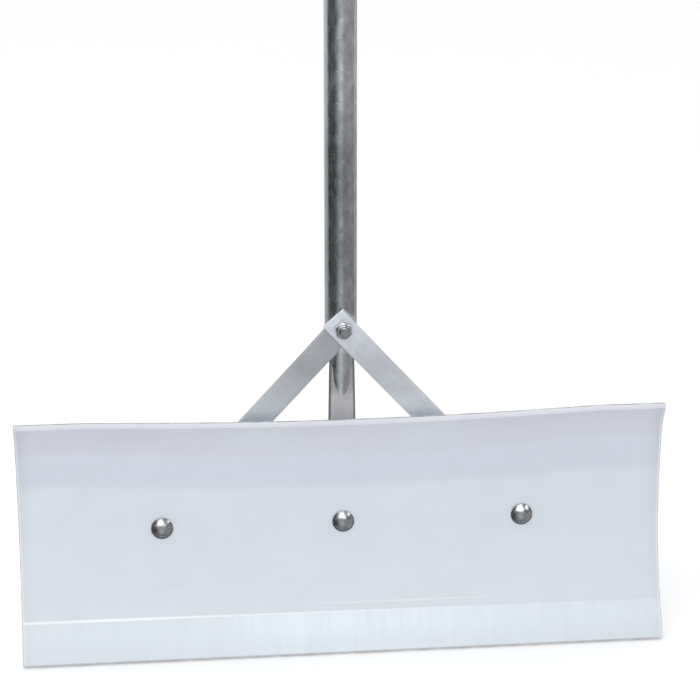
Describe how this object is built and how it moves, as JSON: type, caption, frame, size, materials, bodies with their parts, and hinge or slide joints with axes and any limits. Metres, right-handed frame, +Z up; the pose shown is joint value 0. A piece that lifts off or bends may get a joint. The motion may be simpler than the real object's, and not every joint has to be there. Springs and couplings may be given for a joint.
{
  "type": "snow pusher shovel",
  "caption": "Snow pusher shovel: wide curved plastic blade bolted to a round metal tube handle with a crossed pair of flat braces and a foam hand grip.",
  "frame": {"origin": "centre of the object's footprint at the height of the blade's lowest edge", "axes": "+Z up the handle, X across the blade's width, -Y towards the hollow pushing side of the blade"},
  "size_m": [0.61, 0.0808, 1.4],
  "materials": {
    "blade_sheet": "satin white polyethylene sheet with a faint blue cast",
    "tube_metal": "galvanised drawn tube, mottled and semi-bright",
    "brace_metal": "matte mill-finish flat bar",
    "fastener": "bright zinc plated",
    "nylon": "natural nylon",
    "grip_foam": "closed-cell foam, dull black",
    "cap_plastic": "moulded black plastic"
  },
  "bodies": {
    "root": {"blade": "blade_sheet", "handle_tube": "tube_metal", "left_brace": "brace_metal", "right_brace": "brace_metal", "left_blade_bolt": "fastener", "center_blade_bolt": "fastener", "right_blade_bolt": "fastener", "left_washer": "fastener", "center_washer": "fastener", "right_washer": "fastener", "left_lock_nut": "fastener", "center_lock_nut": "fastener", "right_lock_nut": "fastener", "left_nut_insert": "nylon", "center_nut_insert": "nylon", "right_nut_insert": "nylon", "bracket_bolt": "fastener", "bracket_lock_nut": "fastener", "bracket_nut_insert": "nylon", "hand_grip": "grip_foam", "end_cap": "cap_plastic"}
  },
  "joints": []
}
